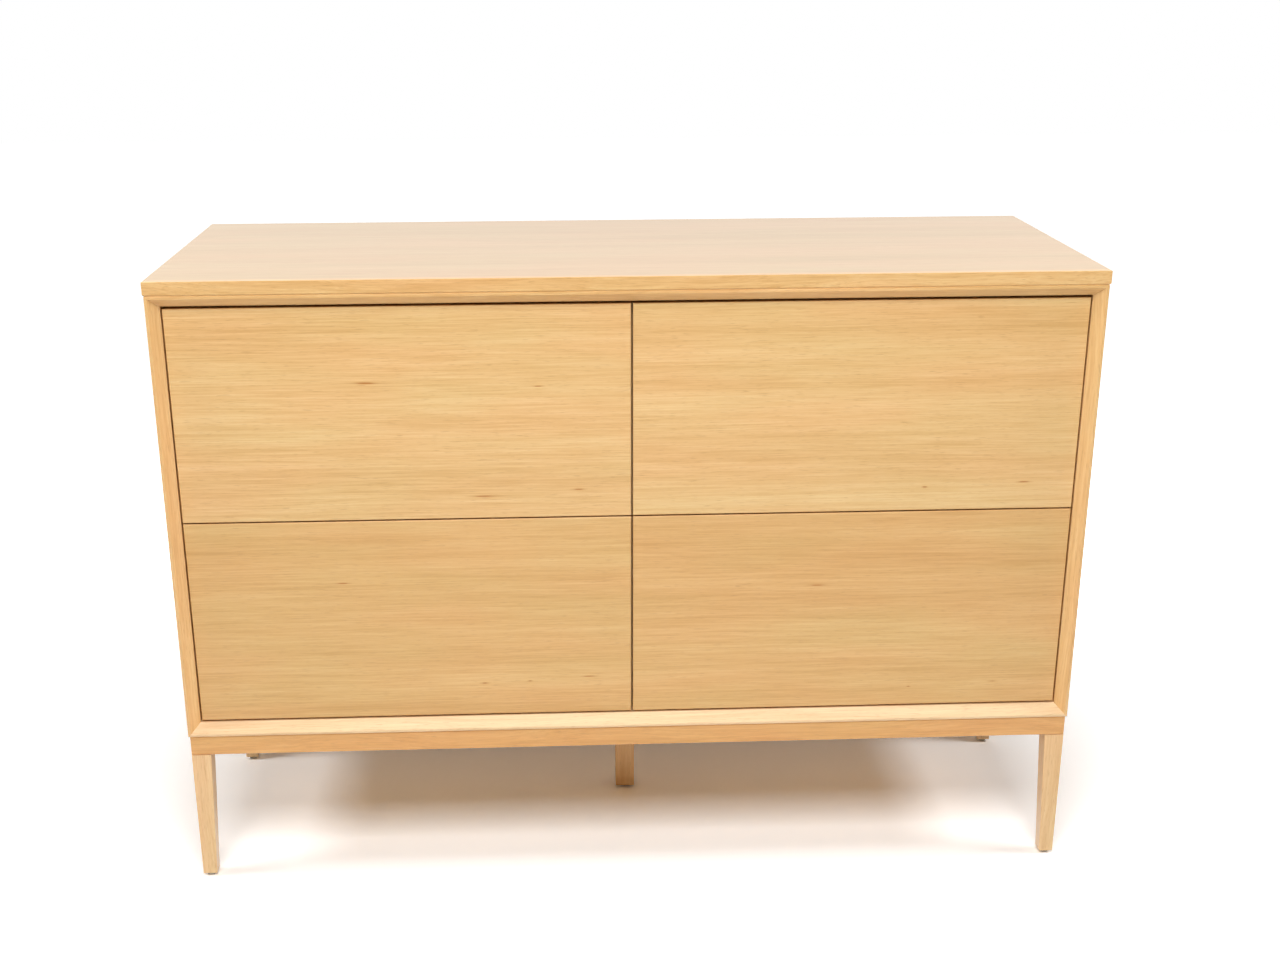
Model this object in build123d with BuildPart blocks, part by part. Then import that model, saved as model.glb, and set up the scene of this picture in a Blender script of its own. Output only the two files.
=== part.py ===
"""A floor-standing chest of four flush drawers, two wide and two high, on a slim base frame with five legs.

Millimetres, +Z up, the origin on the floor at the middle of the chest. The drawers open towards -Y.
"""

import os

from build123d import *

os.makedirs("parts", exist_ok=True)

# Top: a veneered board with a solid lipping along its front edge
top_width = 1200.0
top_depth = 440.0
top_thickness = 18.0
top_overhang = 1.0
top_lipping_depth = 10.0
top_under_chamfer = 1.8
top_arris = 0.5

# Case: four mitred boards, their front edges bevelled in towards the drawers
case_height = 601.0
case_wall = 15.5
case_edge_strip = 4.0
case_bevel_depth = 14.5
case_arris = 1.0
divider_arris = 0.5
divider_thickness = 16.0
divider_setback = 2.0
back_thickness = 5.0
back_lap = 7.0
back_clearance = 0.3

# Base frame, shallower than the case so that the chest stands close to a wall
base_height = 28.0
base_depth = 355.0
base_side_inset = 1.5
base_front_inset = 2.0
base_edge_radius = 2.0
rail_thickness = 25.0
cross_rail_thickness = 25.0
corner_block_size = 42.0
corner_block_drop = 5.0

# Legs: outer faces upright, inner faces tapered, and one straight leg under the middle
leg_height = 186.5
leg_top_width = 26.5
leg_foot_width = 19.0
centre_leg_width = 28.0
centre_leg_setback = 13.0
leg_arris = 1.2
foot_chamfer_width = 3.0
foot_chamfer_height = 5.5
glide_height = 2.5
glide_radius = 5.8
glide_arris = 0.6
glide_pin_radius = 2.5
glide_pin_length = 18.0

# Drawer fronts and the gaps around them
front_thickness = 18.0
front_arris = 0.8
gap_side = 2.0
gap_centre = 2.5
gap_top = 3.5
gap_middle = 2.0
gap_bottom = 2.5

# Drawer boxes behind the fronts
box_wall = 12.0
box_lift = 28.0
box_top_drop = 48.0
box_rear_space = 48.0
bottom_thickness = 6.0
bottom_rise = 9.0
bottom_housing = 6.0
housing_clearance = 0.2

# Telescopic runners: three nested steel channels on each side of a drawer
runner_space = 12.7
runner_height = 45.0
runner_steel = 1.2
runner_nest_gap = 0.5
runner_front_gap = 2.5
runner_rise = 66.0

# Touch latches, which hold a drawer shut and let it go when its front is pressed
latch_rise = 54.0
latch_length = 58.0
latch_plate_height = 28.0
latch_plate_thickness = 2.0
latch_barrel_radius = 4.6
latch_barrel_stand_off = 6.2
plunger_radius = 2.8
plunger_tail_length = 36.0
plunger_tip_radius = 4.0
plunger_tip_length = 4.0
plunger_stroke = 2.5
plunger_stop_gap = 0.5
plunger_rest_gap = 0.3

# Screws and bolts
screw_radius = 2.0
screw_head_radius = 4.0
screw_point_length = 4.0
top_screw_bite = 12.0
base_screw_bite = 10.0
screw_end_margin = 120.0
screw_edge_margin = 70.0
bolt_radius = 4.0
bolt_in_rail = 18.0
bolt_in_leg = 35.0
fixing_clearance = 0.1

# Levels, from the floor up
z_foot = glide_height
z_base = z_foot + leg_height
z_case = z_base + base_height
z_top = z_case + case_height
z_opening_low = z_case + case_wall
z_opening_high = z_top - case_wall

# Case outline and the opening inside it
case_half_width = top_width / 2 - top_overhang
case_front = -(top_depth / 2 - top_overhang)
case_back = top_depth / 2 - top_overhang
case_depth = case_back - case_front
opening_half_width = case_half_width - case_wall
opening_height = z_opening_high - z_opening_low
back_panel_front = case_back - back_thickness

# Base frame outline
base_half_width = case_half_width - base_side_inset
base_front = case_front + base_front_inset
base_back = base_front + base_depth
base_inner_half_width = base_half_width - rail_thickness
base_inner_front = base_front + rail_thickness
base_inner_back = base_back - rail_thickness
base_inner_depth = base_inner_back - base_inner_front

# Drawer fronts
front_plane = case_front + case_bevel_depth
front_back_plane = front_plane + front_thickness
front_height = (opening_height - gap_top - gap_middle - gap_bottom) / 2
front_width = opening_half_width - gap_side - gap_centre / 2
front_x = gap_centre / 2 + front_width / 2
z_lower_front = z_opening_low + gap_bottom
z_upper_front = z_lower_front + front_height + gap_middle

# Drawer bays, and the box that fits in each
bay_width = opening_half_width - divider_thickness / 2
bay_x = divider_thickness / 2 + bay_width / 2
box_width = bay_width - 2 * runner_space
box_depth = back_panel_front - box_rear_space - front_back_plane
box_height = front_height - box_lift - box_top_drop
box_back_plane = front_back_plane + box_depth
runner_front = front_back_plane + runner_front_gap
runner_length = box_depth - runner_front_gap

# Places of the legs' bolts and glides, and of the screws that hold the top and the base
leg_hands = {
    "front_left": (-1, -1),
    "front_right": (1, -1),
    "rear_left": (-1, 1),
    "rear_right": (1, 1),
}
centre_leg_y = (case_front + case_back) / 2 + centre_leg_setback
top_screw_spacing_x = case_half_width - screw_end_margin
top_screw_spacing_y = case_depth - 2 * screw_edge_margin
rail_screw_spacing = (base_half_width - screw_end_margin) * 2 / 3
rail_screw_ys = (base_front + rail_thickness / 2, base_back - rail_thickness / 2)
top_screw_length = case_wall + top_screw_bite
base_screw_length = base_height + base_screw_bite


def save(piece, name):
    """Label a finished piece and write its file."""
    piece.part.label = name
    export_step(piece.part, f"parts/{name}.step")


def screw_solid(length, clearance=0.0):
    """Countersunk screw that points up from a head lying in the XY plane, or, with a clearance, its hole."""
    neck = screw_head_radius - screw_radius
    with BuildPart() as screw:
        with BuildSketch(Plane.XZ):
            with BuildLine():
                Polyline(
                    (0, 0),
                    (screw_head_radius + clearance, 0),
                    (screw_radius + clearance, neck),
                    (screw_radius + clearance, length - screw_point_length),
                    (0, length + clearance),
                    close=True,
                )
            make_face()
        revolve(axis=Axis.Z)
    return screw.part


def leg_axis(hand_x, hand_y, width):
    """Middle of a square of the given width whose outer corner is the corner of the base frame."""
    outer_y = base_front if hand_y < 0 else base_back
    return (hand_x * (base_half_width - width / 2), outer_y - hand_y * width / 2)


bolt_places = [leg_axis(*hands, leg_top_width) for hands in leg_hands.values()]
glide_places = [leg_axis(*hands, leg_foot_width) for hands in leg_hands.values()]
centre_place = (0, centre_leg_y)


def bolt_holes(places):
    """The space that the upper ends of the legs' bolts take up in a rail."""
    with BuildPart() as holes:
        with BuildSketch(Plane.XY.offset(z_base)):
            with Locations(*places):
                Circle(bolt_radius + fixing_clearance)
        extrude(amount=bolt_in_rail + fixing_clearance)
    return holes.part


# The top and its lipping
lipping_back = -top_depth / 2 + top_lipping_depth

with BuildPart() as top_panel:
    with BuildSketch(Plane.XY.offset(z_top)):
        with Locations((0, lipping_back)):
            Rectangle(top_width, top_depth - top_lipping_depth, align=(Align.CENTER, Align.MIN))
    extrude(amount=top_thickness)
    under_edges = top_panel.faces().sort_by(Axis.Z)[0].edges().filter_by(Axis.Y)
    chamfer(under_edges, length=top_under_chamfer)
    upper_face = top_panel.faces().sort_by(Axis.Z)[-1]
    chamfer(upper_face.edges().sort_by(Axis.Y)[1:], length=top_arris)
    with Locations(Plane.XY.offset(z_top - case_wall)):
        with GridLocations(top_screw_spacing_x, top_screw_spacing_y, 3, 2):
            add(screw_solid(top_screw_length, fixing_clearance), mode=Mode.SUBTRACT)
save(top_panel, "top_panel")

with BuildPart() as top_front_lipping:
    with BuildSketch(Plane.XY.offset(z_top)):
        with Locations((0, lipping_back)):
            Rectangle(top_width, top_lipping_depth, align=(Align.CENTER, Align.MAX))
    extrude(amount=top_thickness)
    under_edges = top_front_lipping.faces().sort_by(Axis.Z)[0].edges().sort_by(Axis.Y)[:-1]
    chamfer(under_edges, length=top_under_chamfer)
    upper_edges = top_front_lipping.faces().sort_by(Axis.Z)[-1].edges().sort_by(Axis.Y)[:-1]
    chamfer(upper_edges, length=top_arris)
save(top_front_lipping, "top_front_lipping")

# The case: its corners seen from the front, anticlockwise from the bottom left
outer_corners = [
    (-case_half_width, z_case),
    (case_half_width, z_case),
    (case_half_width, z_top),
    (-case_half_width, z_top),
]
inner_corners = [
    (-opening_half_width, z_opening_low),
    (opening_half_width, z_opening_low),
    (opening_half_width, z_opening_high),
    (-opening_half_width, z_opening_high),
]
opening_middle = (0, case_front, (z_opening_low + z_opening_high) / 2)


def mitred_board(index):
    """One board of the case: mitred ends, a bevelled front edge and a rebate for the back panel."""
    following = (index + 1) % 4
    outer = [Vector(*outer_corners[corner]) for corner in (index, following)]
    inner = [Vector(*inner_corners[corner]) for corner in (index, following)]
    eased = [start + (end - start) * case_arris / case_wall / 2 for start, end in zip(outer, inner)]
    along = (outer[1] - outer[0]).normalized() * case_arris
    with BuildPart() as board:
        with BuildSketch(Plane.XZ.offset(-case_front)):
            with BuildLine():
                Polyline(
                    eased[0], outer[0] + along, outer[1] - along, eased[1], inner[1], inner[0], close=True
                )
            make_face()
        extrude(amount=-case_depth)
        outer_middle = (outer[0] + outer[1]) / 2
        outer_face = board.faces().sort_by_distance((outer_middle.X, 0, outer_middle.Y))[0]
        chamfer(outer_face.edges().sort_by(Axis.Y)[0], length=case_arris)
        front_face = board.faces().sort_by(Axis.Y)[0]
        inner_edge = front_face.edges().sort_by_distance(opening_middle)[0]
        bevel_width = case_wall - case_edge_strip
        chamfer(inner_edge, length=bevel_width, length2=case_bevel_depth, reference=front_face)
        with BuildSketch(Plane.XZ.offset(-back_panel_front)):
            with Locations((0, opening_middle[2])):
                Rectangle(
                    2 * (opening_half_width + back_lap + back_clearance),
                    opening_height + 2 * (back_lap + back_clearance),
                )
        extrude(amount=-back_thickness, mode=Mode.SUBTRACT)
    return board.part


with BuildPart() as case_bottom_board:
    add(mitred_board(0))
    with Locations(Plane.XY.offset(z_base)):
        with Locations(*[(0, y) for y in rail_screw_ys]):
            with GridLocations(rail_screw_spacing, 1, 4, 1):
                add(screw_solid(base_screw_length, fixing_clearance), mode=Mode.SUBTRACT)
save(case_bottom_board, "case_bottom_board")

with BuildPart() as case_right_side:
    add(mitred_board(1))
save(case_right_side, "case_right_side")

with BuildPart() as case_top_board:
    add(mitred_board(2))
    with Locations(Plane.XY.offset(z_top - case_wall)):
        with GridLocations(top_screw_spacing_x, top_screw_spacing_y, 3, 2):
            add(screw_solid(top_screw_length, fixing_clearance), mode=Mode.SUBTRACT)
save(case_top_board, "case_top_board")

with BuildPart() as case_left_side:
    add(mitred_board(3))
save(case_left_side, "case_left_side")

with BuildPart() as back_panel:
    with BuildSketch(Plane.XZ.offset(-back_panel_front)):
        with Locations((0, opening_middle[2])):
            Rectangle(2 * (opening_half_width + back_lap), opening_height + 2 * back_lap)
    extrude(amount=-back_thickness)
save(back_panel, "back_panel")

divider_front = front_back_plane + divider_setback
with BuildPart() as centre_divider:
    with BuildSketch(Plane.XY.offset(z_opening_low)):
        with Locations((0, divider_front)):
            Rectangle(divider_thickness, back_panel_front - divider_front, align=(Align.CENTER, Align.MIN))
    extrude(amount=opening_height)
    chamfer(centre_divider.faces().sort_by(Axis.Y)[0].edges().filter_by(Axis.Z), length=divider_arris)
save(centre_divider, "centre_divider")

with BuildPart() as top_screws:
    with Locations(Plane.XY.offset(z_top - case_wall)):
        with GridLocations(top_screw_spacing_x, top_screw_spacing_y, 3, 2):
            add(screw_solid(top_screw_length))
save(top_screws, "top_screws")

# The base frame: long rails at the front and back, short rails between them
for name, rail_y, show_y in (
    ("base_front_rail", base_front, -1),
    ("base_rear_rail", base_inner_back, 1),
):
    with BuildPart() as long_rail:
        with BuildSketch(Plane.XY.offset(z_base)):
            with Locations((0, rail_y)):
                Rectangle(2 * base_half_width, rail_thickness, align=(Align.CENTER, Align.MIN))
        extrude(amount=base_height)
        outer_face = long_rail.faces().sort_by(Axis.Y)[0 if show_y < 0 else -1]
        fillet(outer_face.edges(), radius=base_edge_radius)
        add(bolt_holes([place for place in bolt_places if place[1] * show_y > 0]), mode=Mode.SUBTRACT)
        with Locations(Plane.XY.offset(z_base)):
            with Locations((0, rail_y + rail_thickness / 2)):
                with GridLocations(rail_screw_spacing, 1, 4, 1):
                    add(screw_solid(base_screw_length, fixing_clearance), mode=Mode.SUBTRACT)
    save(long_rail, name)

for name, hand in (("base_left_rail", -1), ("base_right_rail", 1)):
    with BuildPart() as short_rail:
        with BuildSketch(Plane.XY.offset(z_base)):
            with Locations((hand * (base_half_width - rail_thickness / 2), base_inner_front)):
                Rectangle(rail_thickness, base_inner_depth, align=(Align.CENTER, Align.MIN))
        extrude(amount=base_height)
        outer_face = short_rail.faces().sort_by(Axis.X)[0 if hand < 0 else -1]
        fillet(outer_face.edges().filter_by(Axis.Y), radius=base_edge_radius)
    save(short_rail, name)

with BuildPart() as base_cross_rail:
    with BuildSketch(Plane.XY.offset(z_base)):
        with Locations((0, base_inner_front)):
            Rectangle(cross_rail_thickness, base_inner_depth, align=(Align.CENTER, Align.MIN))
    extrude(amount=base_height)
    add(bolt_holes([centre_place]), mode=Mode.SUBTRACT)
save(base_cross_rail, "base_cross_rail")

with BuildPart() as base_corner_blocks:
    with BuildSketch(Plane.XY.offset(z_base + corner_block_drop)):
        for hand_x, hand_y in leg_hands.values():
            corner_x = hand_x * base_inner_half_width
            corner_y = base_inner_front if hand_y < 0 else base_inner_back
            with BuildLine():
                Polyline(
                    (corner_x, corner_y),
                    (corner_x - hand_x * corner_block_size, corner_y),
                    (corner_x, corner_y - hand_y * corner_block_size),
                    close=True,
                )
            make_face()
    extrude(amount=base_height - corner_block_drop)
save(base_corner_blocks, "base_corner_blocks")

with BuildPart() as base_screws:
    with Locations(Plane.XY.offset(z_base)):
        with Locations(*[(0, y) for y in rail_screw_ys]):
            with GridLocations(rail_screw_spacing, 1, 4, 1):
                add(screw_solid(base_screw_length))
save(base_screws, "base_screws")

# The legs


def square_leg(top_place, top_size, foot_place, foot_size):
    """A leg between its seat under the frame and its foot, with a bolt hole and a hole for its glide."""
    with BuildPart() as leg:
        with BuildSketch(Plane.XY.offset(z_base)):
            with Locations(top_place):
                Rectangle(top_size, top_size)
        with BuildSketch(Plane.XY.offset(z_foot)):
            with Locations(foot_place):
                Rectangle(foot_size, foot_size)
        loft()
        foot_face = leg.faces().sort_by(Axis.Z)[0]
        chamfer(foot_face.edges(), length=foot_chamfer_height, length2=foot_chamfer_width, reference=foot_face)
        fillet(leg.edges().filter_by(lambda edge: edge.length > leg_height / 2), radius=leg_arris)
        with BuildSketch(Plane.XY.offset(z_base)):
            with Locations(top_place):
                Circle(bolt_radius + fixing_clearance)
        extrude(amount=-bolt_in_leg - fixing_clearance, mode=Mode.SUBTRACT)
        with BuildSketch(Plane.XY.offset(z_foot)):
            with Locations(foot_place):
                Circle(glide_pin_radius + fixing_clearance)
        extrude(amount=glide_pin_length + fixing_clearance, mode=Mode.SUBTRACT)
    return leg


for index, name in enumerate(leg_hands):
    corner_leg = square_leg(bolt_places[index], leg_top_width, glide_places[index], leg_foot_width)
    save(corner_leg, f"{name}_leg")

centre_leg = square_leg(centre_place, centre_leg_width, centre_place, centre_leg_width)
save(centre_leg, "centre_leg")

with BuildPart() as leg_bolts:
    with BuildSketch(Plane.XY.offset(z_base - bolt_in_leg)):
        with Locations(*bolt_places, centre_place):
            Circle(bolt_radius)
    extrude(amount=bolt_in_leg + bolt_in_rail)
save(leg_bolts, "leg_bolts")

with BuildPart() as floor_glides:
    with BuildSketch(Plane.XY):
        with Locations(*glide_places, centre_place):
            Circle(glide_radius)
    extrude(amount=glide_height)
    chamfer(floor_glides.edges().group_by(Axis.Z)[0], length=glide_arris)
    with BuildSketch(Plane.XY.offset(glide_height)):
        with Locations(*glide_places, centre_place):
            Circle(glide_pin_radius)
    extrude(amount=glide_pin_length)
save(floor_glides, "floor_glides")

# The runners. Each is a channel around the next, from the wall of the bay to the side of the drawer
case_member_reach = runner_space - 2 * runner_nest_gap
mid_member_web = runner_steel + runner_nest_gap
mid_member_height = runner_height - 2 * (runner_steel + runner_nest_gap)
drawer_member_height = mid_member_height - 2 * (runner_steel + runner_nest_gap)
drawer_member_reach = mid_member_web + runner_steel + runner_nest_gap


def runner_channel(wall_x, towards, web, reach, height, z_middle):
    """One steel channel, its web and reach measured from the wall of the bay towards the drawer."""
    lean = 1 if reach > web else -1
    web_x = wall_x + towards * (web + lean * runner_steel / 2)
    lip_x = wall_x + towards * reach
    half_height = (height - runner_steel) / 2
    with BuildPart() as channel:
        with BuildSketch(Plane.XZ.offset(-runner_front)):
            with BuildLine():
                Polyline(
                    (lip_x, z_middle + half_height),
                    (web_x, z_middle + half_height),
                    (web_x, z_middle - half_height),
                    (lip_x, z_middle - half_height),
                )
            trace(line_width=runner_steel)
        extrude(amount=-runner_length)
    return channel.part


# The four drawers: the side of the chest that each is on and the level of its front's lower edge
drawers = {
    "upper_left": (-1, z_upper_front),
    "upper_right": (1, z_upper_front),
    "lower_left": (-1, z_lower_front),
    "lower_right": (1, z_lower_front),
}


def bay_walls(hand):
    """Left and right walls of a bay, each with the direction from it towards the drawer."""
    return (
        (hand * bay_x - bay_width / 2, 1),
        (hand * bay_x + bay_width / 2, -1),
    )


with BuildPart() as runner_case_members:
    for hand, z_front in drawers.values():
        for wall_x, towards in bay_walls(hand):
            z_runner = z_front + box_lift + runner_rise
            add(runner_channel(wall_x, towards, 0, case_member_reach, runner_height, z_runner))
save(runner_case_members, "runner_case_members")


def drawer_runners(name, hand, z_front):
    """Write the two moving members of a drawer's runners, a left and a right one in each file."""
    z_runner = z_front + box_lift + runner_rise
    with BuildPart() as mid_members:
        for wall_x, towards in bay_walls(hand):
            reach = runner_space - runner_nest_gap
            add(runner_channel(wall_x, towards, mid_member_web, reach, mid_member_height, z_runner))
    save(mid_members, f"{name}_runner_mid_members")
    with BuildPart() as drawer_members:
        for wall_x, towards in bay_walls(hand):
            reach = drawer_member_reach
            add(runner_channel(wall_x, towards, runner_space, reach, drawer_member_height, z_runner))
    save(drawer_members, f"{name}_runner_drawer_members")


# The drawers


def drawer_front(name, hand, z_front):
    """Write a flush front with eased edges and a housing for the drawer bottom in its back."""
    box_x = hand * bay_x
    with BuildPart() as front:
        with BuildSketch(Plane.XZ.offset(-front_plane)):
            with Locations((hand * front_x, z_front)):
                Rectangle(front_width, front_height, align=(Align.CENTER, Align.MIN))
        extrude(amount=-front_thickness)
        chamfer(front.faces().sort_by(Axis.Y)[0].edges(), length=front_arris)
        with BuildSketch(Plane.XZ.offset(-front_back_plane)):
            with Locations((box_x, z_front + box_lift + bottom_rise)):
                Rectangle(
                    box_width - 2 * (box_wall - bottom_housing) + housing_clearance,
                    bottom_thickness + housing_clearance,
                    align=(Align.CENTER, Align.MIN),
                )
        extrude(amount=bottom_housing, mode=Mode.SUBTRACT)
    save(front, f"{name}_drawer_front")


def drawer_side(name, side_name, side_x, inwards, z_box):
    """Write one side of a drawer box, housed along its inner face for the bottom."""
    with BuildPart() as side:
        with BuildSketch(Plane.XZ.offset(-front_back_plane)):
            with Locations((side_x, z_box)):
                Rectangle(box_wall, box_height, align=(Align.CENTER, Align.MIN))
            with Locations((side_x + inwards * (box_wall - bottom_housing) / 2, z_box + bottom_rise)):
                Rectangle(
                    bottom_housing,
                    bottom_thickness + housing_clearance,
                    align=(Align.CENTER, Align.MIN),
                    mode=Mode.SUBTRACT,
                )
        extrude(amount=-box_depth)
    save(side, f"{name}_drawer_{side_name}_side")


def drawer_back_and_bottom(name, box_x, z_box):
    """Write the bottom, which slides in from behind, and the back, which stands on it."""
    z_bottom = z_box + bottom_rise
    with BuildPart() as bottom:
        with BuildSketch(Plane.XY.offset(z_bottom)):
            with Locations((box_x, box_back_plane)):
                Rectangle(
                    box_width - 2 * (box_wall - bottom_housing) - housing_clearance,
                    box_depth + bottom_housing - housing_clearance,
                    align=(Align.CENTER, Align.MAX),
                )
        extrude(amount=bottom_thickness)
    save(bottom, f"{name}_drawer_bottom")
    z_back = z_bottom + bottom_thickness
    with BuildPart() as back:
        with BuildSketch(Plane.XY.offset(z_back)):
            with Locations((box_x, box_back_plane)):
                Rectangle(box_width - 2 * box_wall, box_wall, align=(Align.CENTER, Align.MAX))
        extrude(amount=z_box + box_height - z_back)
    save(back, f"{name}_drawer_back")


for name, (hand, z_front) in drawers.items():
    z_box = z_front + box_lift
    side_offset = (box_width - box_wall) / 2
    drawer_front(name, hand, z_front)
    drawer_side(name, "left", hand * bay_x - side_offset, 1, z_box)
    drawer_side(name, "right", hand * bay_x + side_offset, -1, z_box)
    drawer_back_and_bottom(name, hand * bay_x, z_box)
    drawer_runners(name, hand, z_front)

# The touch latches, each on the side of the case above a runner, with its plunger against the front
plunger_tip_front = front_back_plane + plunger_rest_gap
plunger_shoulder = plunger_tip_front + plunger_tip_length
latch_front = plunger_shoulder + plunger_stroke + plunger_stop_gap
latch_bore_length = latch_front - plunger_shoulder + plunger_tail_length


def latch_axis(hand, z_front):
    """Plane square to a latch's barrel, on its axis, at the level of the latch."""
    x = hand * (opening_half_width - latch_barrel_stand_off)
    z = z_front + box_lift + runner_rise + latch_rise
    return (x, z)


with BuildPart() as touch_latch_bodies:
    for hand, z_front in drawers.values():
        axis_x, axis_z = latch_axis(hand, z_front)
        plate_x = hand * (opening_half_width - latch_plate_thickness / 2)
        with BuildSketch(Plane.XZ.offset(-latch_front)):
            with Locations((plate_x, axis_z)):
                Rectangle(latch_plate_thickness, latch_plate_height)
            with Locations((axis_x, axis_z)):
                Circle(latch_barrel_radius)
        extrude(amount=-latch_length)
        with BuildSketch(Plane.XZ.offset(-latch_front)):
            with Locations((axis_x, axis_z)):
                Circle(plunger_radius + fixing_clearance)
        extrude(amount=-latch_bore_length, mode=Mode.SUBTRACT)
save(touch_latch_bodies, "touch_latch_bodies")

for name, (hand, z_front) in drawers.items():
    with BuildPart() as plunger:
        with BuildSketch(Plane.XZ.offset(-plunger_tip_front)):
            with Locations(latch_axis(hand, z_front)):
                Circle(plunger_tip_radius)
        extrude(amount=-plunger_tip_length)
        with BuildSketch(Plane.XZ.offset(-plunger_shoulder)):
            with Locations(latch_axis(hand, z_front)):
                Circle(plunger_radius)
        extrude(amount=-plunger_tail_length)
    save(plunger, f"{name}_latch_plunger")
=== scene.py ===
"""Looks for the floor-standing chest of four flush oak drawers: its finishes, small fittings, floor and light.

Metres, +Z up, the origin on the floor at the middle of the chest. The drawers open towards -Y.
"""
import math

import bpy
import mathutils
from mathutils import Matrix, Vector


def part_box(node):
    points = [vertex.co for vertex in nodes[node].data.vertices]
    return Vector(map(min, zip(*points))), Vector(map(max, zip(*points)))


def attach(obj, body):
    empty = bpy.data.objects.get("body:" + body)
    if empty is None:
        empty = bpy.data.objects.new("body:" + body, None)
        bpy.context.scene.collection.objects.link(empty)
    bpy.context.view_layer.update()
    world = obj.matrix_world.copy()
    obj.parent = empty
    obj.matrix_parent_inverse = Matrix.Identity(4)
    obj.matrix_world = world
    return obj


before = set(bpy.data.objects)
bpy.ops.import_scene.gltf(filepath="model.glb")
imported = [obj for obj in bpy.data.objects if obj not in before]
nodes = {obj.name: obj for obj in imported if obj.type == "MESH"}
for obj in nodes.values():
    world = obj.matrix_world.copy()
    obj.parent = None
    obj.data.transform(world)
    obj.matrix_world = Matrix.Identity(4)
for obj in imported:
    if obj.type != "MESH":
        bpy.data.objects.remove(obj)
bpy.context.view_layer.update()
mm = 0.001
white = (1.0, 1.0, 1.0, 1.0)
black = (0.0, 0.0, 0.0, 1.0)

drawer_names = ("upper_left", "upper_right", "lower_left", "lower_right")


# How the finishes are made


def linear(hex_colour):
    """Turn an sRGB hex colour such as "E6B87F" into the linear RGBA that the shaders read."""
    levels = [int(hex_colour[place:place + 2], 16) / 255 for place in (0, 2, 4)]
    return (*[v / 12.92 if v <= 0.04045 else ((v + 0.055) / 1.055) ** 2.4 for v in levels], 1.0)


def grey(level):
    """A linear grey."""
    return (level, level, level, 1.0)


def add_node(tree, kind, inputs=None, stops=(), **settings):
    """Add a node with its settings and the stops of its colour ramp, and fill its inputs with values or links.

    An input that is given as a node takes that node's first output.
    """
    made = tree.nodes.new(f"ShaderNode{kind}")
    for name, value in settings.items():
        setattr(made, name, value)
    for index, (position, colour) in enumerate(stops):
        elements = made.color_ramp.elements
        element = elements[index] if index < 2 else elements.new(position)
        element.position = position
        element.color = colour
    for key, value in (inputs or {}).items():
        source = value.outputs[0] if isinstance(value, bpy.types.Node) else value
        if isinstance(source, bpy.types.NodeSocket):
            tree.links.new(source, made.inputs[key])
        else:
            made.inputs[key].default_value = source
    return made


def start_finish(name):
    """A new material and its empty tree."""
    material = bpy.data.materials.new(name)
    material.use_nodes = True
    material.node_tree.nodes.clear()
    return material, material.node_tree


def board_space(tree, grain, place):
    """Object coordinates moved by a board's own place in the log and turned so that X runs along its grain."""
    coordinates = add_node(tree, "TexCoord").outputs["Object"]
    turns = {"x": (0, 0, 0), "y": (0, 0, math.radians(-90)), "z": (0, math.radians(90), 0)}
    return add_node(tree, "Mapping", {"Vector": coordinates, "Rotation": turns[grain], "Location": place})


def streaky(tree, space, length, width, detail, rough=0.5):
    """Soft streaks so many millimetres long in X and wide in Y and Z, from about 0.25 to 0.75."""
    scale = (1 / (length * mm), 1 / (width * mm), 1 / (width * mm))
    stretched = add_node(tree, "Mapping", {"Vector": space, "Scale": scale})
    inputs = {"Vector": stretched, "Scale": 1.0, "Detail": detail, "Roughness": rough}
    return add_node(tree, "TexNoise", inputs)


def brown_mark(tree, colour, streaks, centre, length, height):
    """The colour with a short brown mark in it, where a knot or a mineral streak grazes the face.

    It shows as a wide faint smear with a thin dark core, ragged along the streaks of the wood. Millimetres.
    """
    through_board = 40
    reach = (length * mm, through_board * mm, height * mm)
    inputs = {
        "Vector": add_node(tree, "TexCoord").outputs["Object"],
        "Location": tuple(-value * mm / size for value, size in zip(centre, reach)),
        "Scale": tuple(1 / size for size in reach),
    }
    from_centre = add_node(tree, "Mapping", inputs)
    distance = add_node(tree, "VectorMath", {0: from_centre}, operation="LENGTH").outputs["Value"]
    raggedness = 1.6
    push = add_node(tree, "Math", {0: streaks, 1: raggedness, 2: -raggedness / 2}, operation="MULTIPLY_ADD")
    ragged = add_node(tree, "Math", {0: distance, 1: push}, operation="ADD")
    mark = add_node(tree, "ValToRGB", {"Fac": ragged}, [(0.25, white), (1.0, black), (0.5, grey(0.35))])
    return add_node(tree, "Mix", {0: mark, 6: colour, 7: linear("C0761C")}, data_type="RGBA").outputs[2]


def plywood_edges(tree, colour, axis, start, thickness):
    """The colour with the nine layers of a plywood board in it, dark and pale by turns, which show on its edges.

    axis is the one through the board. The outer layers reach a hair past its faces, so that a face never lies
    right on the border of a layer.
    """
    layers = 9
    hair = 0.02 * mm
    position = add_node(tree, "TexCoord").outputs["Object"]
    through = add_node(tree, "SeparateXYZ", {0: position}).outputs[axis]
    depth = add_node(tree, "Math", {0: through, 1: start - hair}, operation="SUBTRACT")
    layer_thickness = (thickness + 2 * hair) / layers
    count = add_node(tree, "Math", {0: depth, 1: layer_thickness}, operation="DIVIDE")
    layer = add_node(tree, "Math", {0: count}, operation="FLOOR")
    dark_layer = add_node(tree, "Math", {0: layer, 1: 2.0}, operation="MODULO")
    return add_node(tree, "Mix", {0: dark_layer, 6: colour, 7: linear("BC9764")}, data_type="RGBA").outputs[2]


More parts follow.
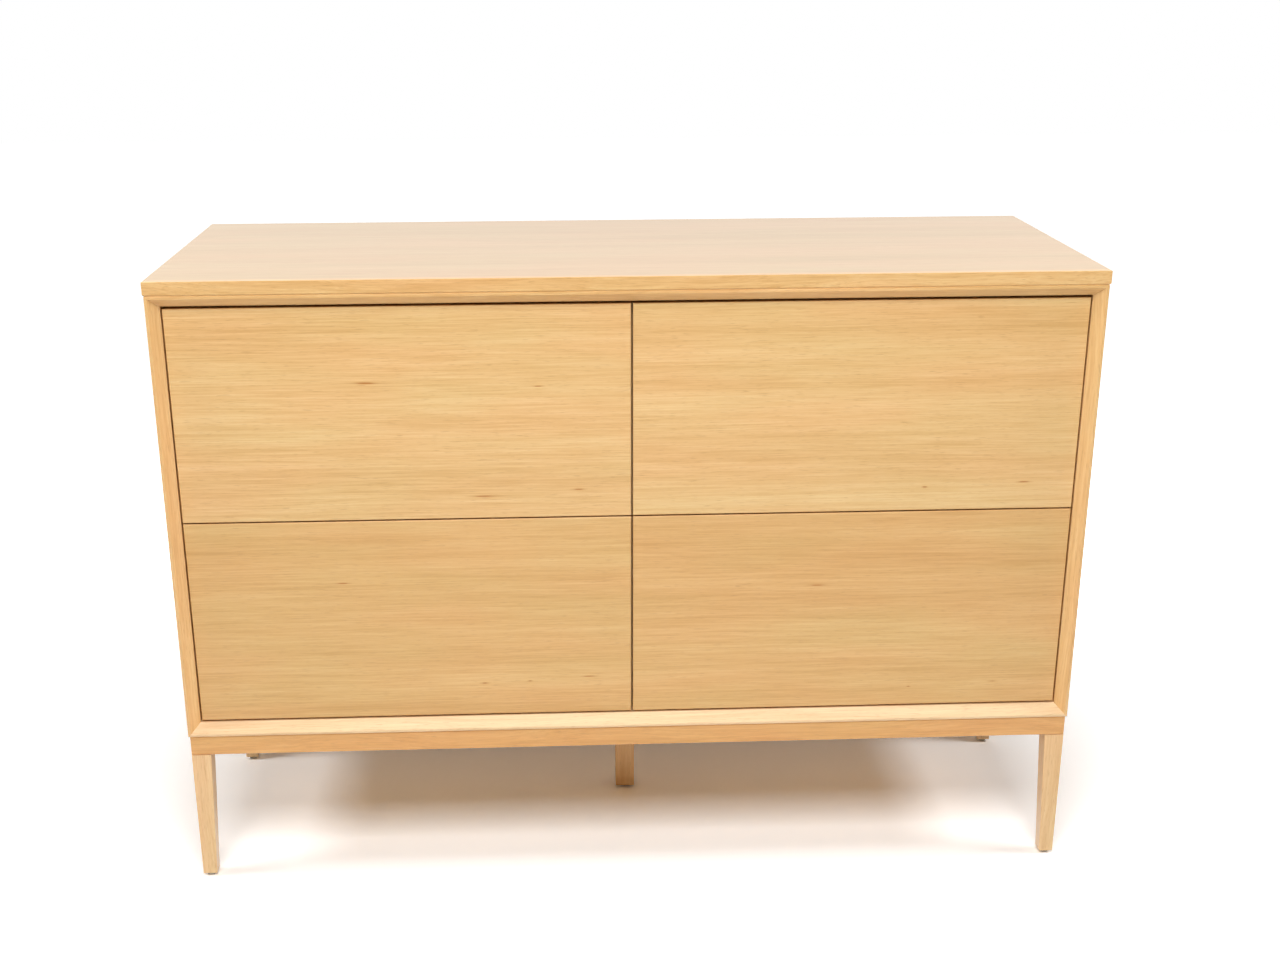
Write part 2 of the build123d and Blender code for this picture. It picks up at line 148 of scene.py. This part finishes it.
def lipped_with_gap_shade(tree, colour, lipping):
    """The colour with a front's solid lippings round it, which show on the faces that look sideways and are
    darker than the face, partly as painted shade in the gaps between the fronts.
    """
    facing = add_node(tree, "TexCoord").outputs["Normal"]
    forwards = add_node(tree, "SeparateXYZ", {0: facing}).outputs["Y"]
    squareness = add_node(tree, "Math", {0: forwards}, operation="ABSOLUTE")
    sideways = add_node(tree, "Math", {0: squareness, 1: 0.3}, operation="LESS_THAN")
    # the darker lipping colour on these faces is partly the real lipping and partly painted shade in the gaps
    # between the fronts
    return add_node(tree, "Mix", {0: sideways, 6: colour, 7: linear(lipping)}, data_type="RGBA").outputs[2]


def oak(name, grain, place, tones, contrast=1.0, wander=8, marks=(), gloss=0.42, lipping=None, plies=None):
    """Straight-grained oak, or birch and beech in their own tones, under a clear satin lacquer.

    The figure shows as fine level streaks about 2 mm apart over fainter growth bands, open pores as short darker
    dashes, and the lacquer as a soft even sheen over both. tones are the pale, middle and dark colours of the
    wood, and wander is how many millimetres the grain drifts sideways over the length of a board. marks are the
    centre, length and height of brown marks, lipping is the colour of the solid lippings round a veneered front,
    darker than its face partly as painted shade in the gaps between the fronts,
    and plies gives the axis, the start and the thickness of a plywood board.
    """
    material, tree = start_finish(name)
    board = board_space(tree, grain, place)
    pale, middle, dark = [linear(tone) for tone in tones]

    drift = streaky(tree, board, 380, 150, 2.0)
    bend = 4 * wander * mm
    sideways = add_node(tree, "Math", {0: drift, 1: bend, 2: -bend / 2}, operation="MULTIPLY_ADD")
    shift = add_node(tree, "CombineXYZ", {"Y": sideways, "Z": sideways})
    bent = add_node(tree, "VectorMath", {0: board, 1: shift}, operation="ADD")

    # growth bands some 30 mm and 8 mm wide, and streaks 2 mm wide and about 90 mm long
    broad_bands = streaky(tree, bent, 1100, 30, 2.0)
    bands = streaky(tree, bent, 380, 8, 3.0, 0.6)
    streaks = streaky(tree, bent, 90, 2.0, 3.0, 0.7)
    figure = 0.0
    for layer, share in ((broad_bands, 0.25), (bands, 0.25), (streaks, 0.5)):
        figure = add_node(tree, "Math", {0: layer, 1: share, 2: figure}, operation="MULTIPLY_ADD")
    spread = 0.15 / contrast
    stops = [(0.5 - spread, dark), (0.5 + spread, pale), (0.5, middle)]
    colour = add_node(tree, "ValToRGB", {"Fac": figure}, stops)

    # pores: short dashes 8 to 20 mm long, drawn 0.9 mm wide so that they show
    dashes = streaky(tree, bent, 15, 0.9, 1.0)
    pores = add_node(tree, "ValToRGB", {"Fac": dashes}, [(0.60, black), (0.76, grey(0.45))])
    pore_depth = add_node(tree, "Math", {0: pores, 1: contrast}, operation="MULTIPLY")
    colour = add_node(tree, "Mix", {0: pore_depth, 6: colour, 7: linear("C48C50")}, data_type="RGBA").outputs[2]

    # some parts of a board lean to pink and some to straw
    lean = streaky(tree, bent, 260, 60, 1.0)
    tint = add_node(tree, "ValToRGB", {"Fac": lean}, [(0.35, linear("FFFAF4")), (0.65, linear("FBFDF6"))])
    inputs = {0: 1.0, 6: colour, 7: tint}
    colour = add_node(tree, "Mix", inputs, data_type="RGBA", blend_type="MULTIPLY").outputs[2]

    for centre, length, height in marks:
        colour = brown_mark(tree, colour, streaks, centre, length, height)
    if plies:
        colour = plywood_edges(tree, colour, *plies)
    if lipping:
        colour = lipped_with_gap_shade(tree, colour, lipping)

    # the lacquer sinks a little into the pores and streaks
    sunk = add_node(tree, "Math", {0: pores, 1: -0.6}, operation="MULTIPLY")
    height = add_node(tree, "Math", {0: streaks, 1: 0.4, 2: sunk}, operation="MULTIPLY_ADD")
    lacquer = {
        "Base Color": colour,
        "Roughness": gloss,
        "IOR": 1.5,
        "Coat Weight": 1.0,
        "Coat Roughness": 0.28,
        "Coat IOR": 1.5,
        "Normal": add_node(tree, "Bump", {"Height": height, "Strength": 0.1, "Distance": 0.2 * mm}),
    }
    shader = add_node(tree, "BsdfPrincipled", lacquer)
    add_node(tree, "OutputMaterial", {"Surface": shader})
    return material


def plated_steel(name, light, shade):
    """Zinc-plated steel: a soft metal sheen with faint rolling lines along Y and cloudy plating."""
    material, tree = start_finish(name)
    strip = board_space(tree, "y", (0, 0, 0))
    clouds = streaky(tree, strip, 30, 12, 3.0)
    lines = streaky(tree, strip, 60, 0.8, 2.0)
    faint_lines = add_node(tree, "Math", {0: lines, 1: 0.3}, operation="MULTIPLY")
    tone = add_node(tree, "Math", {0: clouds, 1: 0.7, 2: faint_lines}, operation="MULTIPLY_ADD")
    plating = {
        "Base Color": add_node(tree, "ValToRGB", {"Fac": tone}, [(0.35, linear(shade)), (0.65, linear(light))]),
        "Metallic": 1.0,
        "Roughness": add_node(tree, "Math", {0: clouds, 1: 0.2, 2: 0.24}, operation="MULTIPLY_ADD"),
        "Normal": add_node(tree, "Bump", {"Height": lines, "Strength": 0.1, "Distance": 0.1 * mm}),
    }
    shader = add_node(tree, "BsdfPrincipled", plating)
    add_node(tree, "OutputMaterial", {"Surface": shader})
    return material


def moulded_plastic(name, colour, roughness):
    """Moulded plastic: an even colour with the fine matt grain of the mould, 0.6 mm wide so that it shows."""
    material, tree = start_finish(name)
    coordinates = add_node(tree, "TexCoord").outputs["Object"]
    grain = streaky(tree, coordinates, 0.6, 0.6, 2.0)
    patches = streaky(tree, coordinates, 9, 9, 2.0)
    base = linear(colour)
    darker = (*[level * 0.82 for level in base[:3]], 1.0)
    moulding = {
        "Base Color": add_node(tree, "ValToRGB", {"Fac": patches}, [(0.35, darker), (0.65, base)]),
        "Roughness": roughness,
        "IOR": 1.46,
        "Normal": add_node(tree, "Bump", {"Height": grain, "Strength": 0.15, "Distance": 0.1 * mm}),
    }
    shader = add_node(tree, "BsdfPrincipled", moulding)
    add_node(tree, "OutputMaterial", {"Surface": shader})
    return material


def dress(node, material):
    """Give a CAD node its material."""
    mesh = nodes[node].data
    mesh.materials.clear()
    mesh.materials.append(material)


# Pale, middle and dark tones of each kind of wood. The oak varies from board to board, and some tones are painted
# light and shade: darker lower fronts, a paler bottom board for its highlight, paler corner legs and a darker
# centre leg.
# The upper and lower fronts are one veneer: the upper fronts' paler tones are painted light and the lower fronts'
# darker ones are painted shade
upper_lit_tones = ("F6D196", "EDC182", "E0AE6C")
lower_shaded_tones = ("ECC483", "E3B470", "D6A15A")
top_tones = ("DEBB8D", "D5AF7C", "C89E68")
edge_tones = ("F6CE92", "ECBC7D", "DDA865")
rail_tones = ("F2BE78", "E9AE64", "D99A50")
# The case bottom board's paler tones paint the highlight on its upward-facing bevel
sill_highlight_tones = ("FADDB4", "F2CEA0", "E6BC8A")
# The centre leg's darker, warmer tones paint the shade under the chest, and the corner legs' paler tones paint
# the light that the floor throws on them
centre_leg_shade_tones = ("F9C988", "F3BD7B", "E7AC68")
leg_tones = ("F9D6A2", "F3C993", "E7B77C")
back_tones = ("D2AA78", "C69C6A", "B4895A")
beech_tones = ("DDB98C", "D2A97A", "C29767")
birch_tones = ("E9D2AC", "E0C69C", "D2B588")

# Each board's node, material, way of the grain, place in the log in metres, tones, and what else sets it apart
rail_habit = {"wander": 10}
boards = (
    ("top_panel", "oak veneer, clear satin lacquer, top", "x", (1.3, 0.2, 0.1), top_tones, {}),
    ("top_front_lipping", "solid oak lipping, planed and lacquered", "x", (3.1, 0.7, 0.4), edge_tones,
     {"contrast": 1.2, "wander": 14}),
    ("case_top_board", "oak veneer, case top board", "x", (0.4, 0.0, 0.3), edge_tones, {}),
    # the bottom board's paler tones are a painted highlight
    ("case_bottom_board", "oak veneer, case bottom board", "x", (2.4, 0.3, 0.9), sill_highlight_tones, {}),
    ("case_left_side", "oak veneer, case left side", "z", (0.9, 0.5, 0.2), edge_tones, {}),
    ("case_right_side", "oak veneer, case right side", "z", (1.9, 0.1, 0.6), edge_tones, {}),
    ("base_front_rail", "solid oak, front rail", "x", (4.4, 0.8, 0.2), rail_tones, rail_habit),
    ("base_rear_rail", "solid oak, rear rail", "x", (5.4, 0.2, 0.7), rail_tones, rail_habit),
    ("base_left_rail", "solid oak, left rail", "y", (6.4, 0.1, 0.5), rail_tones, rail_habit),
    ("base_right_rail", "solid oak, right rail", "y", (7.4, 0.9, 0.1), rail_tones, rail_habit),
    # the corner legs' paler tones are painted light, and the centre leg's darker ones are painted shade
    ("front_left_leg", "solid oak, front left leg", "z", (8.3, 0.0, 0.0), leg_tones, {}),
    ("front_right_leg", "solid oak, front right leg", "z", (10.0, 0.31, 0.17), leg_tones, {}),
    ("rear_left_leg", "solid oak, rear left leg", "z", (11.7, 0.62, 0.34), leg_tones, {}),
    ("rear_right_leg", "solid oak, rear right leg", "z", (13.4, 0.93, 0.51), leg_tones, {}),
    ("centre_leg", "solid oak, centre leg", "z", (15.1, 1.24, 0.68), centre_leg_shade_tones, {}),
    ("centre_divider", "oak-faced board, clear matt lacquer", "z", (0.7, 3.3, 0.4), edge_tones, {"gloss": 0.55}),
    ("back_panel", "oak-faced hardboard", "x", (9.7, 4.1, 0.6), back_tones, {"contrast": 0.9, "gloss": 0.6}),
    ("base_cross_rail", "beech, planed", "y", (2.2, 5.1, 0.3), beech_tones, {"contrast": 0.7, "gloss": 0.6}),
    ("base_corner_blocks", "beech, sawn blocks", "x", (3.2, 5.6, 0.8), beech_tones,
     {"contrast": 0.7, "gloss": 0.65}),
)
for node, label, grain, place, tones, habit in boards:
    dress(node, oak(label, grain, place, tones, **habit))

# Each front's place in the log, and its brown marks: across, up, length and height in millimetres
front_face = -204
fronts = {
    "upper_left": ((0.2, 1.4, 0.35), [(-336, 701, 24, 2.2), (-192, 548, 30, 2.0), (-69, 555, 14, 2.0),
                                      (-119, 694, 10, 1.4)]),
    "upper_right": ((1.8, 2.2, 0.35), [(515, 555, 14, 2.0), (384, 550, 5, 1.6)]),
    "lower_left": ((3.7, 1.1, 0.85), [(-199, 281, 9, 1.8), (-381, 430, 12, 1.5), (-58, 288, 14, 1.6),
                                      (-138, 283, 5, 1.4)]),
    "lower_right": ((5.9, 2.7, 0.85), [(247, 414, 21, 2.0), (495, 267, 13, 1.8), (379, 262, 4, 1.4)]),
}
for name, (place, spots) in fronts.items():
    # the lower fronts take darker tones than the upper ones as painted shade
    tones = upper_lit_tones if name.startswith("upper") else lower_shaded_tones
    label = f"oak veneer, {name.replace('_', ' ')} front"
    marks = [((across, front_face, up), length, height) for across, up, length, height in spots]
    # the lipping colour CC9450 is darker than the fronts, partly as painted shade in the gaps between them
    dress(f"{name}_drawer_front", oak(label, "x", place, tones, wander=1.5, marks=marks, lipping="CC9450"))

for index, name in enumerate(drawer_names):
    for step, part in enumerate(("left_side", "right_side", "back", "bottom")):
        place = (0.6 + 1.3 * index, 6.2 + 0.4 * step, 0.3 * index)
        grain = "y" if part.endswith("side") else "x"
        axis = {"back": 1, "bottom": 2}.get(part, 0)
        low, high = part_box(f"{name}_drawer_{part}")
        plies = (axis, low[axis], high[axis] - low[axis])
        label = f"birch plywood, {name} {part}".replace("_", " ")
        dress(f"{name}_drawer_{part}", oak(label, grain, place, birch_tones, 0.6, gloss=0.5, plies=plies))

runner_steel = plated_steel("cold-rolled steel, bright zinc plating", "CDCFD2", "B2B5B8")
fixing_steel = plated_steel("turned steel, yellowed zinc plating", "CFC4A8", "A79C80")
latch_plastic = moulded_plastic("moulded acetal, grey", "77777A", 0.5)
plunger_plastic = moulded_plastic("moulded acetal, off-white", "D9D8D2", 0.4)
glide_plastic = moulded_plastic("moulded polyethylene, pale grey", "C9C4BA", 0.45)
dress("runner_case_members", runner_steel)
for name in drawer_names:
    dress(f"{name}_runner_mid_members", runner_steel)
    dress(f"{name}_runner_drawer_members", runner_steel)
    dress(f"{name}_latch_plunger", plunger_plastic)
for node in ("top_screws", "base_screws", "leg_bolts"):
    dress(node, fixing_steel)
dress("touch_latch_bodies", latch_plastic)
dress("floor_glides", glide_plastic)

# Screws with a low round head and a cross recess, modelled once with the head towards +Z and copied
bpy.ops.object.select_all(action="DESELECT")
head_radius = 3.4 * mm
head_height = 0.9 * mm
head_rounding = 0.4 * mm
recess_size = (4.2 * mm, 0.8 * mm, 1.0 * mm)
head_middle = (0, 0, head_height / 2)
bpy.ops.mesh.primitive_cylinder_add(vertices=24, radius=head_radius, depth=head_height, location=head_middle)
screw_head = bpy.context.object
rounding = screw_head.modifiers.new("rounding", "BEVEL")
rounding.width = head_rounding
rounding.segments = 2
bpy.ops.object.modifier_apply(modifier="rounding")
for turn in (0, 90):
    bpy.ops.mesh.primitive_cube_add(size=1, location=(0, 0, head_height))
    blade = bpy.context.object
    blade.dimensions = recess_size
    blade.rotation_euler = (0, 0, math.radians(turn))
    bpy.ops.object.transform_apply(location=True, rotation=True, scale=True)
    bpy.ops.object.select_all(action="DESELECT")
    screw_head.select_set(True)
    bpy.context.view_layer.objects.active = screw_head
    recess = screw_head.modifiers.new("recess", "BOOLEAN")
    recess.operation = "DIFFERENCE"
    recess.object = blade
    bpy.ops.object.modifier_apply(modifier="recess")
    bpy.data.objects.remove(blade)
bpy.ops.object.transform_apply(location=True, rotation=True, scale=True)
screw_head.data.materials.append(fixing_steel)


def set_screw(name, place, turns, body):
    """A copy of the screw head at a place, turned by angles about Z, Y and then X, that moves with a body."""
    piece = screw_head.copy()
    piece.data = screw_head.data.copy()
    piece.name = name
    bpy.context.scene.collection.objects.link(piece)
    turn = mathutils.Euler([math.radians(angle) for angle in turns], "ZYX").to_matrix().to_4x4()
    piece.data.transform(mathutils.Matrix.Translation(place) @ turn)
    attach(piece, body)


# Fourteen of them hold the back panel, 9 mm in from its edges: five along the top and the bottom, and four up
# each side with those at the corners
low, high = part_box("back_panel")
margin = 9 * mm
columns = [low[0] + margin + (high[0] - low[0] - 2 * margin) * step / 4 for step in range(5)]
rows = [low[2] + margin + (high[2] - low[2] - 2 * margin) * step / 3 for step in range(4)]
spots = [(x, z) for x in columns for z in rows if x in (columns[0], columns[-1]) or z in (rows[0], rows[-1])]
for index, (x, z) in enumerate(spots):
    recess_turn = 17 * index
    set_screw(f"back_panel_screw_{index + 1}", (x, high[1], z), (-90, 0, recess_turn), "case")

# Three of them hold each runner's inner channel to the side of its drawer box, at these shares of its length
runner_screw_shares = (0.12, 0.5, 0.88)
channel_steel = 1.2 * mm
for name in drawer_names:
    low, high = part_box(f"{name}_runner_drawer_members")
    middle = (low[2] + high[2]) / 2
    for side, towards in (("left", -1), ("right", 1)):
        box_low, box_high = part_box(f"{name}_drawer_{side}_side")
        face = (box_low[0] if side == "left" else box_high[0]) + towards * channel_steel
        for index, share in enumerate(runner_screw_shares):
            place = (face, low[1] + (high[1] - low[1]) * share, middle)
            screw_name = f"{name}_{side}_runner_screw_{index + 1}"
            set_screw(screw_name, place, (0, 90 * towards, 0), f"{name}_drawer")
bpy.data.objects.remove(screw_head)

# Floor: matt white, brightened for the camera, and glowing for it from some way out, so that only the chest's own
# shadow shows
floor_half_size = 9.0
floor_tone = 0.92
floor_seen_tone = 1.18
glow_start = 0.66
glow_rise = 0.9
bpy.ops.object.select_all(action="DESELECT")
bpy.ops.mesh.primitive_plane_add(size=2 * floor_half_size, location=(0, 0, 0))
floor = bpy.context.object
floor.name = "floor"
floor_material, tree = start_finish("matt white floor")
seen = add_node(tree, "LightPath").outputs["Is Camera Ray"]
inputs = {0: seen, 6: grey(floor_tone), 7: grey(floor_seen_tone)}
paper = add_node(tree, "Mix", inputs, data_type="RGBA").outputs[2]
matt = add_node(tree, "BsdfDiffuse", {"Color": paper})
spot = add_node(tree, "TexCoord").outputs["Object"]
oval = add_node(tree, "Mapping", {"Vector": spot, "Scale": (1.0, 2.0, 1.0)})
distance = add_node(tree, "VectorMath", {0: oval}, operation="LENGTH").outputs["Value"]
inputs = {0: distance, 1: glow_rise, 2: -glow_start * glow_rise}
fade = add_node(tree, "Math", inputs, operation="MULTIPLY_ADD", use_clamp=True)
glow_level = add_node(tree, "Math", {0: seen, 1: fade}, operation="MULTIPLY")
glow = add_node(tree, "Emission", {"Color": white, "Strength": glow_level})
both = add_node(tree, "AddShader", {0: matt, 1: glow})
add_node(tree, "OutputMaterial", {"Surface": both})
floor.data.materials.append(floor_material)

# Surroundings: white to the eye and in reflections, with a faint even light on the chest and more from the lit
# backdrop behind it
ambient_level = 0.04
backdrop_level = 0.2
world = bpy.data.worlds.new("white studio")
bpy.context.scene.world = world
world.use_nodes = True
tree = world.node_tree
tree.nodes.clear()
path = add_node(tree, "LightPath").outputs
mirrored = add_node(tree, "Math", {0: path["Is Glossy Ray"], 1: path["Is Transmission Ray"]}, operation="MAXIMUM")
direct = add_node(tree, "Math", {0: path["Is Camera Ray"], 1: mirrored}, operation="MAXIMUM")
way = add_node(tree, "TexCoord").outputs["Generated"]
behind = add_node(tree, "SeparateXYZ", {0: way}).outputs["Y"]
backdrop_edge, backdrop_heart = 0.2, 0.8
spread = {0: behind, 1: backdrop_edge, 2: backdrop_heart, 3: ambient_level, 4: backdrop_level}
indirect = add_node(tree, "MapRange", spread)
level = add_node(tree, "Math", {0: direct, 1: indirect}, operation="MAXIMUM")
sky = add_node(tree, "Background", {"Color": white, "Strength": level})
add_node(tree, "OutputWorld", {"Surface": sky})


def softbox(name, place, aim, width, height, watts):
    """A large soft lamp that faces a point."""
    lamp = bpy.data.lights.new(name, "AREA")
    lamp.shape = "RECTANGLE"
    lamp.size = width
    lamp.size_y = height
    lamp.energy = watts
    holder = bpy.data.objects.new(name, lamp)
    bpy.context.scene.collection.objects.link(holder)
    holder.location = place
    way = [aim[axis] - place[axis] for axis in range(3)]
    flat = math.hypot(way[0], way[1])
    holder.rotation_euler = (math.atan2(flat, -way[2]), 0, math.atan2(-way[0], way[1]))
    return holder


softbox("high front softbox", (-0.15, -2.05, 2.75), (0, 0, 0.6), 1.8, 1.2, 75)
softbox("left softbox", (-2.2, -0.3, 2.1), (0, 0, 0.2), 0.7, 0.7, 28)
softbox("right softbox", (2.2, -0.3, 2.1), (0, 0, 0.2), 0.7, 0.7, 28)
rear = softbox("rear softbox", (0, 2.2, 1.9), (0, 0, 0.3), 1.6, 1.0, 3)
rear.visible_glossy = False

# Camera: standing height, a little left of the middle, looking down at the fronts
camera_data = bpy.data.cameras.new("camera")
camera_data.sensor_width = 36.0
camera_data.lens = 44.328
camera_data.shift_x = 0.01914
camera_data.shift_y = 0.01498
camera_data.clip_end = 60
camera = bpy.data.objects.new("camera", camera_data)
bpy.context.scene.collection.objects.link(camera)
camera.location = (-0.1050, -2.1423, 1.2110)
camera.rotation_euler = [math.radians(angle) for angle in (70.9333, 0.1985, -2.5338)]
bpy.context.scene.camera = camera
bpy.context.scene.view_settings.view_transform = "Standard"
